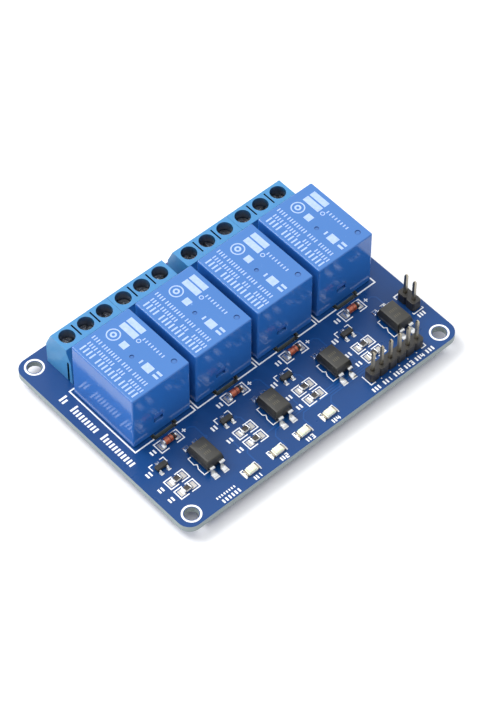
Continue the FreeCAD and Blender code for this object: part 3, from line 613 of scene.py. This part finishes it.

# Satin, with a fine skin from the tool. In painted shade, deep wells and wire mouths go dark
# blue.
terminal_nylon, tree, place = new_finish("moulded_light_blue_nylon")
outside, _ = two_tone(tree, place, housing_hex, 0.3, 3.0)
open_sky = add(tree, "AmbientOcclusion", {"Distance": 0.004}, samples=8, only_local=True)
openness = add(tree, "MapRange", {"Value": open_sky.outputs["AO"], "From Min": 0.3,
                                  "From Max": 0.9})
colour = add(tree, "Mix", {0: openness, 6: srgb(well_shade_hex), 7: outside},
             data_type="RGBA").outputs[2]
skin_grain = add(tree, "TexNoise", {"Vector": place, "Scale": 6.0, "Detail": 2.0})
bump = add(tree, "Bump", {"Height": skin_grain.outputs["Fac"], "Strength": 0.12,
                          "Distance": 0.0001})
surface(tree, {"Base Color": colour, "Roughness": 0.34, "IOR": 1.53, "Subsurface Weight": 0.1,
               "Subsurface Scale": 0.001, "Normal": bump})
for k in channels:
    eased(f"terminal_{k}_housing", f"terminal_{k}_case", edge_round, terminal_nylon)
# The clamps look pale gold. The driver has dented the zinc of the screws, so it glints.
clamp_brass = plated("nickel_flashed_brass", ("#a59a6e", "#c6bd92"), 0.35, 1.0)
dress(clamp_brass, *(f"terminal_{k}_clamps" for k in channels))
screw_zinc = plated("bright_zinc_plated_steel", ("#7d8287", "#eef0f1"), 0.16, 2.2, dents=1.0)
dress(screw_zinc, *(f"terminal_{k}_screws" for k in channels))


# Pin headers. Square pins with a light gold flash, pressed through black nylon strips that are
# moulded with a notch between the ways so that they snap apart.
# Glass-filled nylon flows unevenly: a warm black with soft waves in its sheen.
black_nylon, tree, place = new_finish("moulded_black_nylon")
colour, flow = two_tone(tree, place, ("#1c1b19", "#2b2926"), 1.5, 4.0)
bump = add(tree, "Bump", {"Height": flow, "Strength": 0.2, "Distance": 0.0001})
surface(tree, {"Base Color": colour, "Roughness": 0.38, "IOR": 1.57, "Normal": bump})
for header in ("signal_header", "supply_header"):
    eased(f"{header}_housing", f"{header}_strip", 0.1, black_nylon)
# So thin a flash of gold lets the nickel under it through: greyish gold, half bright.
gold_flash = plated("gold_flashed_brass_pin", ("#968e7c", "#bdb5a1"), 0.3, 0.5)
dress(gold_flash, "signal_header_pins", "supply_header_pins")


# Optocouplers. Black epoxy bodies with drafted walls, satin from the mould, over four bent and
# tinned leads that stand in solder on their pads.
coupler_size = (4.6, 6.5)
coupler_corner = 0.18
coupler_foot_z = deck + 0.2
coupler_part_z = deck + 1.9
coupler_top_z = deck + 3.5
coupler_draft = tan(radians(14.0))
lead_pitch = 2.54
lead_size = (1.1, 0.26)
lead_root = 0.3
lead_shoulder = 0.65
lead_foot = 1.0
lead_bend = 0.22
pad_top = 0.05

# Silica in the epoxy makes a fine grain, and the top takes a grey sheen from the sky.
epoxy, tree, place = new_finish("moulded_black_epoxy")
filler = add(tree, "TexNoise", {"Vector": place, "Scale": 5.0, "Detail": 3.0})
colour, _ = two_tone(tree, place, ("#1b1a12", "#272519"), 0.6)
bump = add(tree, "Bump", {"Height": filler.outputs["Fac"], "Strength": 0.3, "Distance": 0.0001})
surface(tree, {"Base Color": colour, "Roughness": 0.38, "IOR": 1.66, "Normal": bump})
# Matt tin over copper: pale, soft reflections.
tin = plated("matt_tin_plate", ("#bfc2c4", "#eeeeed"), 0.22, 1.6)


def rounded_block(x, y, length, width, corner, levels, arc=5):
    """Rounded rectangles stacked by (height, inset). Each corner is a quarter circle about a
    point that stays put, so that its radius shrinks by the inset."""
    quarter = np.linspace(0, pi / 2, arc)
    angles = -np.concatenate([quarter + pi / 2 * k for k in range(4)])
    quadrant = np.repeat(np.arange(4), arc)
    side_x = np.where((quadrant == 0) | (quadrant == 3), 1, -1)
    side_y = np.where((quadrant == 0) | (quadrant == 1), -1, 1)
    rings = []
    for z, inset in levels:
        radius = max(corner - inset, 0.02)
        reach_x = length / 2 - inset - radius
        reach_y = width / 2 - inset - radius
        rings.append(np.stack([x + side_x * reach_x + radius * np.cos(angles),
                               y + side_y * reach_y + radius * np.sin(angles),
                               np.full(len(angles), z)], axis=1))
    return skin(np.array(rings))


def coupler_levels():
    """Wall heights and insets of a body: drafted both ways from the parting line."""
    lower = (coupler_part_z - coupler_foot_z) * coupler_draft
    upper = (coupler_top_z - coupler_part_z) * coupler_draft
    ease = 0.12
    return [(coupler_foot_z, lower + ease), (coupler_foot_z + ease, lower),
            (coupler_part_z - 0.02, 0.0), (coupler_part_z + 0.02, 0.0),
            (coupler_top_z - ease, upper), (coupler_top_z - ease * 0.3, upper + ease * 0.3),
            (coupler_top_z, upper + ease)]


def bent_strip(line, width, thickness, x):
    """A flat lead: a rectangle carried along a line in the YZ plane, square to it."""
    line = np.asarray(line, float)
    ahead = np.gradient(line, axis=0)
    ahead /= np.linalg.norm(ahead, axis=1)[:, None]
    up = np.stack([-ahead[:, 1], ahead[:, 0]], axis=1) * thickness / 2
    rings = []
    for across, side in ((-1, -1), (1, -1), (1, 1), (-1, 1)):
        yz = line + side * up
        rings.append(np.hstack([np.full((len(line), 1), x + across * width / 2), yz]))
    return skin(np.stack(rings, axis=1))


def lead_line(start, knee, toe, top, foot, bend):
    """The middle line of a lead that leaves level, turns down in a round bend and out again."""
    quarter = np.linspace(0, pi / 2, 6)
    down = [(knee - bend + bend * sin(a), top - bend + bend * cos(a)) for a in quarter]
    out = [(knee + bend - bend * cos(a), foot + bend - bend * sin(a)) for a in quarter]
    return [(start, top)] + down + out + [(toe, foot)]


body_shapes, lead_shapes = [], []
for x in coupler_xs:
    body_shapes.append(rounded_block(x, coupler_y, *coupler_size, coupler_corner,
                                     coupler_levels()))
    for side in (-1, 1):
        reach = coupler_size[1] / 2
        line = lead_line(reach - lead_root, reach + lead_shoulder - lead_size[1] / 2,
                         reach + lead_shoulder + lead_foot,
                         coupler_part_z - lead_size[1] / 2,
                         deck + pad_top + lead_size[1] / 2, lead_bend)
        points = np.array(line) * (side, 1) + (coupler_y, 0)
        for step in (-0.5, 0.5):
            lead_shapes.append(bent_strip(points[::side], *lead_size, x + step * lead_pitch))
coupler_bodies = make_piece("coupler_bodies", joined(body_shapes), epoxy,
                            smooth_deg=50)
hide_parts("optocoupler_bodies")
coupler_leads = make_piece("coupler_leads", joined(lead_shapes), tin)
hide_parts("optocoupler_leads")

# The first pin of each optocoupler is marked by a shallow moulded dot, kept here as a ring.
dot_inset = 1.3
dot_radius = 0.38
dots = [ring(x - coupler_size[0] / 2 + dot_inset, coupler_y - coupler_size[1] / 2 + dot_inset,
             dot_radius, 0.12, coupler_top_z - 0.01, 0.03) for x in coupler_xs]
make_piece("coupler_pin_one_rings", joined(dots), epoxy)

# A laser bleaches two rows of plain strokes on the top: matt, and a greyer black than the rest.
bleached, tree, place = new_finish("laser_bleached_epoxy")
tone, _ = two_tone(tree, place, ("#45433a", "#6f6a58"), 7.0, 3.0)
surface(tree, {"Base Color": tone, "Roughness": 0.7})
strokes = []
for x in coupler_xs:
    for row_y, count in ((0.35, 5), (-1.15, 4)):
        strokes += printed(bars(count, 0.42, 0.7), x - 1.05, coupler_y + row_y, 0.16,
                           z=coupler_top_z, height=0.008)
make_piece("coupler_marks", joined(strokes), bleached)


# Small transistors. Black epoxy with three thin tinned leads, two at the front, one behind.
# A foot is given by its place along the body and its side, a level by its height and inset.
transistor_size = (2.9, 1.3)
transistor_feet = ((-0.95, -1), (0.95, -1), (0.0, 1))
transistor_lead = (0.4, 0.15)
transistor_toe = 1.25
transistor_levels = [(deck + 0.1, 0.15), (deck + 0.16, 0.1), (deck + 0.5, 0.0),
                     (deck + 0.58, 0.0), (deck + 0.94, 0.07), (deck + 1.0, 0.13)]
bodies, leads = [], []
for x in transistor_xs:
    bodies.append(rounded_block(x, transistor_y, *transistor_size, 0.12, transistor_levels))
    for step, side in transistor_feet:
        line = lead_line(0.5, 0.9, transistor_toe, deck + 0.47,
                         deck + pad_top + transistor_lead[1] / 2, 0.13)
        points = np.array(line) * (side, 1) + (transistor_y, 0)
        leads.append(bent_strip(points[::side], *transistor_lead, x + step))
transistor_cases = make_piece("transistor_cases", joined(bodies), epoxy)
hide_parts("transistor_bodies")
transistor_legs = make_piece("transistor_legs", joined(leads), tin)
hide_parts("transistor_leads")


# Glass diodes. A clear glass sleeve melted onto two copper-coated studs that hold the chip, so
# it looks orange-red, with a painted black band at the cathode and tinned caps on both ends.
diode_length = 3.5
cap_length = 0.45
cap_radius = 0.81
glass_radius = 0.8
end_radius = 0.66
stud_radius = 0.72
stud_gap = 0.12
paint_thickness = 0.012
diode_z = deck + pad_top + cap_radius


def lying_turned(profile, x, y, z):
    """A profile of (place along X, radius) turned about a line along X in equal steps."""
    sides = 24
    angles = np.arange(sides) * 2 * pi / sides
    along, radius = np.array(profile).T
    rings = np.stack([np.broadcast_to((x + along)[:, None], (len(along), sides)),
                      y + radius[:, None] * np.sin(angles),
                      z + radius[:, None] * np.cos(angles)], axis=-1)
    return skin(rings)


# Drawn glass is clear and faintly wavy. The studs shine through it, orange-red with oxide, and
# the band is satin black.
sealing_glass, tree, place = new_finish("clear_sealing_glass")
wavy = add(tree, "TexNoise", {"Vector": place, "Scale": 1.2, "Detail": 1.0})
bump = add(tree, "Bump", {"Height": wavy.outputs["Fac"], "Strength": 0.2, "Distance": 0.0001})
surface(tree, {"Base Color": srgb("#ffe9de"), "Roughness": 0.04, "IOR": 1.52,
               "Transmission Weight": 1.0, "Normal": bump})
copper_stud, tree, place = new_finish("oxidised_copper_stud")
tone, _ = two_tone(tree, place, ("#d06a44", "#f09a76"), 1.5, 3.0)
surface(tree, {"Base Color": tone, "Metallic": 0.3, "Roughness": 0.35})
band_paint, tree, place = new_finish("black_band_paint")
tone, _ = two_tone(tree, place, ("#151414", "#262322"), 2.5)
surface(tree, {"Base Color": tone, "Roughness": 0.35})
half_glass = diode_length / 2 - cap_length
glasses, studs, bands, caps = [], [], [], []
band_start, band_end = half_glass - 0.56, half_glass - 0.12
for x in diode_xs:
    centre = (x, diode_y, diode_z)
    glasses.append(lying_turned([(-half_glass, end_radius), (-half_glass + 0.12, glass_radius),
                                 (half_glass - 0.12, glass_radius), (half_glass, end_radius)],
                                *centre))
    for side in (-1, 1):
        ends = sorted((side * stud_gap / 2, side * half_glass))
        studs.append(lying_turned([(ends[0], stud_radius - 0.08), (ends[0] + 0.06, stud_radius),
                                   (ends[1] - 0.06, stud_radius),
                                   (ends[1], stud_radius - 0.08)], *centre))
        ends = sorted((side * half_glass, side * diode_length / 2))
        caps.append(lying_turned([(ends[0], end_radius), (ends[0] + 0.08, cap_radius),
                                  (ends[1] - 0.1, cap_radius), (ends[1], 0.7)], *centre))
    bands.append(lying_turned([(band_start, glass_radius - 0.01),
                               (band_start + 0.02, glass_radius + paint_thickness),
                               (band_end - 0.02, glass_radius + paint_thickness),
                               (band_end, glass_radius - 0.01)], *centre))
diode_sleeves = make_piece("diode_sleeves", joined(glasses), sealing_glass)
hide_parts("diode_glass_tubes")
make_piece("diode_studs", joined(studs), copper_stud)
make_piece("diode_cathode_bands", joined(bands), band_paint)
diode_caps = make_piece("diode_caps", joined(caps), tin)
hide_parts("diode_end_caps")


# Chip resistors. White alumina chips with a black glaze over the resistive film, and tinned
# caps wrapped round both ends.
resistor_size = (2.0, 1.25)
resistor_low = deck + 0.08
resistor_top = deck + 0.58
cap_depth = 0.4

# Fired alumina is chalky white. The glaze over the film is fired glass, glossy brown-black.
alumina, tree, place = new_finish("fired_alumina")
tone, _ = two_tone(tree, place, ("#d8d5cc", "#efede6"), 6.0)
surface(tree, {"Base Color": tone, "Roughness": 0.6})
glaze, tree, place = new_finish("black_overglaze")
tone, _ = two_tone(tree, place, ("#2b2826", "#45403c"), 4.0)
surface(tree, {"Base Color": tone, "Roughness": 0.25})
chips, glazes, ends = [], [], []
for x in resistor_xs:
    for y in resistor_ys:
        chips.append(rounded_block(x, y, resistor_size[0] - 0.1, resistor_size[1], 0.04,
                                   [(resistor_low, 0.03), (resistor_low + 0.03, 0.0),
                                    (resistor_top - 0.03, 0.0), (resistor_top, 0.03)], arc=3))
        glazes.append(rounded_block(x, y, resistor_size[0] - 2 * cap_depth + 0.1,
                                    resistor_size[1] - 0.06, 0.06,
                                    [(resistor_top - 0.01, 0.0), (resistor_top + 0.02, 0.02),
                                     (resistor_top + 0.028, 0.05)], arc=3))
        for side in (-1, 1):
            ends.append(rounded_block(x + side * (resistor_size[0] - cap_depth) / 2, y,
                                      cap_depth, resistor_size[1] + 0.06, 0.07,
                                      [(resistor_low - 0.03, 0.04), (resistor_low + 0.01, 0.0),
                                       (resistor_top - 0.01, 0.0), (resistor_top + 0.03, 0.05)],
                                      arc=4))
resistor_chips = make_piece("resistor_chips", joined(chips), alumina)
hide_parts("chip_resistors")
make_piece("resistor_glaze", joined(glazes), glaze)
make_piece("resistor_ends", joined(ends), tin)


# Indicator lights. A white carrier plate with gold-flashed ends and a clear cast lens over the
# chip, which looks cream-green when unlit.
light_size = (3.2, 1.6)
light_plate_z = deck + pad_top
light_lens_z = light_plate_z + 0.6
light_lens = (2.0, 1.6)
tab_length = 0.4

# The plate is half-matt white. The lens is glossy, with a cloudy green-cream glow from inside.
carrier, tree, place = new_finish("white_carrier_plate")
tone, _ = two_tone(tree, place, ("#e7e4da", "#f7f5ee"), 5.0)
surface(tree, {"Base Color": tone, "Roughness": 0.5})
cast_lens, tree, place = new_finish("clear_cast_epoxy")
tone, _ = two_tone(tree, place, ("#e6ecc0", "#f6f6e2"), 1.5)
surface(tree, {"Base Color": tone, "Roughness": 0.12, "IOR": 1.52, "Subsurface Weight": 0.3,
               "Subsurface Scale": 0.001})
plates, lenses, tabs = [], [], []
for x in light_xs:
    plates.append(rounded_block(x, light_y, light_size[0] - 0.04, light_size[1], 0.05,
                                [(light_plate_z, 0.02), (light_plate_z + 0.03, 0.0),
                                 (light_lens_z - 0.02, 0.0), (light_lens_z, 0.02)], arc=3))
    lenses.append(rounded_block(x, light_y, *light_lens, 0.14,
                                [(light_lens_z - 0.01, 0.0), (light_lens_z + 0.34, 0.05),
                                 (light_lens_z + 0.45, 0.1), (light_lens_z + 0.5, 0.2)]))
    for side in (-1, 1):
        tabs.append(rounded_block(x + side * (light_size[0] - tab_length) / 2, light_y,
                                  tab_length, light_size[1] + 0.02, 0.06,
                                  [(light_plate_z, 0.0), (light_lens_z + 0.01, 0.0),
                                   (light_lens_z + 0.03, 0.03)], arc=3))
light_plates = make_piece("light_plates", joined(plates), carrier)
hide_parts("indicator_lights")
make_piece("light_lenses", joined(lenses), cast_lens)
make_piece("light_end_tabs", joined(tabs), gold_flash)


# Solder. Bright tin on every pad, drawn up the ends of the parts in hollow fillets, and a cone
# that creeps up each pin under the board. Bare tinned copper shows beyond the smaller fillets.
fillet_reach = 0.4
pad_margin = 0.25
solder_height = 0.315
bare_pad_height = 0.045

# Solder freezes with a skin of shallow waves, so it breaks the light into bright flecks.
bright_solder, tree, place = new_finish("bright_tin_solder")
tone, flow = two_tone(tree, place, ("#c4c8ca", "#f6f6f6"), 1.2, 3.0)
bump = add(tree, "Bump", {"Height": flow, "Strength": 0.5, "Distance": 0.0002})
surface(tree, {"Base Color": tone, "Metallic": 1.0, "Roughness": 0.26, "Normal": bump})


def solder_wedge(x, y, length, width, along_x, side):
    """A pad with a hollow fillet: across the pad the height falls from the part's end to the
    rim as the square of what is left of the way, and at both sides it has 0.35 of that."""
    steps = np.linspace(0, 1, 7)
    run = np.concatenate([[0.0], steps * fillet_reach + length - fillet_reach]) - length / 2
    rise = np.concatenate([[solder_height], solder_height * (1 - steps) ** 2])
    rings = []
    for offset, scale in ((-0.5, 0.0), (-0.5, 1.0), (-0.32, 1.0), (0.32, 1.0), (0.5, 1.0),
                          (0.5, 0.0)):
        shoulder = 0.35 if abs(offset) == 0.5 else 1.0
        z = deck + scale * (pad_top + rise * shoulder)
        rings.append(np.stack([run, np.full(len(run), offset * width), z], axis=1))
    grid = np.stack(rings, axis=1)
    if along_x:
        grid[..., 0] *= side
        if side < 0:
            grid = grid[::-1]
    else:
        grid = np.stack([grid[..., 1] * -side, grid[..., 0] * side, grid[..., 2]], axis=-1)
    return skin(grid + (x, y, 0.0))


def end_pads(x, y, part_length, part_width):
    """Two pads. Each reaches one fillet beyond its end of the part, and two margins under it."""
    length = fillet_reach + 2 * pad_margin
    offset = part_length / 2 + fillet_reach - length / 2
    return [solder_wedge(x + side * offset, y, length, part_width, True, side)
            for side in (-1, 1)]


def lead_pad(x, y, side, lead_width, foot, toe):
    """A pad under a lead's foot, from the heel to one fillet beyond the toe."""
    depth = foot + fillet_reach
    return solder_wedge(x, y + side * (toe + fillet_reach - depth / 2), depth,
                        lead_width + pad_margin, False, side)


# Bare pads: flat copper, tinned in hot air, which looks greyer and less bright than the solder.
pad_tin = plated("hot_air_levelled_tin", ("#b3afa7", "#dcd8d1"), 0.5, 1.5)
flat_pads = []
for xs, ys, offset, length, width in ((resistor_xs, resistor_ys, 1.45, 1.35, 1.6),
                                      (diode_xs, (diode_y,), 2.0, 1.3, 1.8),
                                      (light_xs, (light_y,), 1.75, 0.8, 1.4)):
    flat_pads += [rounded_block(x + side * offset, y, length, width, 0.08,
                                [(deck, 0.0), (deck + bare_pad_height, 0.0)])
                  for x in xs for y in ys for side in (-1, 1)]
for x in transistor_xs:
    flat_pads += [rounded_block(x + step, transistor_y + side * 1.2, 0.85, 0.95, 0.08,
                                [(deck, 0.0), (deck + bare_pad_height, 0.0)])
                  for step, side in transistor_feet]
make_piece("bare_pads", joined(flat_pads), pad_tin)

pads = []
for x in coupler_xs:
    toe = coupler_size[1] / 2 + lead_shoulder + lead_foot
    pads += [lead_pad(x + step * lead_pitch, coupler_y, side, lead_size[0], lead_foot, toe)
             for side in (-1, 1) for step in (-0.5, 0.5)]
for x in transistor_xs:
    pads += [lead_pad(x + step, transistor_y, side, 0.5, 0.5, transistor_toe)
             for step, side in transistor_feet]
for x in diode_xs:
    pads += end_pads(x, diode_y, diode_length, 1.5)
for x in light_xs:
    pads += end_pads(x, light_y, light_size[0], light_size[1])
for x in resistor_xs:
    for y in resistor_ys:
        pads += end_pads(x, y, *resistor_size)
solder_pads = make_piece("solder_on_pads", joined(pads), bright_solder, smooth_deg=50)
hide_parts("surface_solder")
dress(bright_solder, "pin_solder")
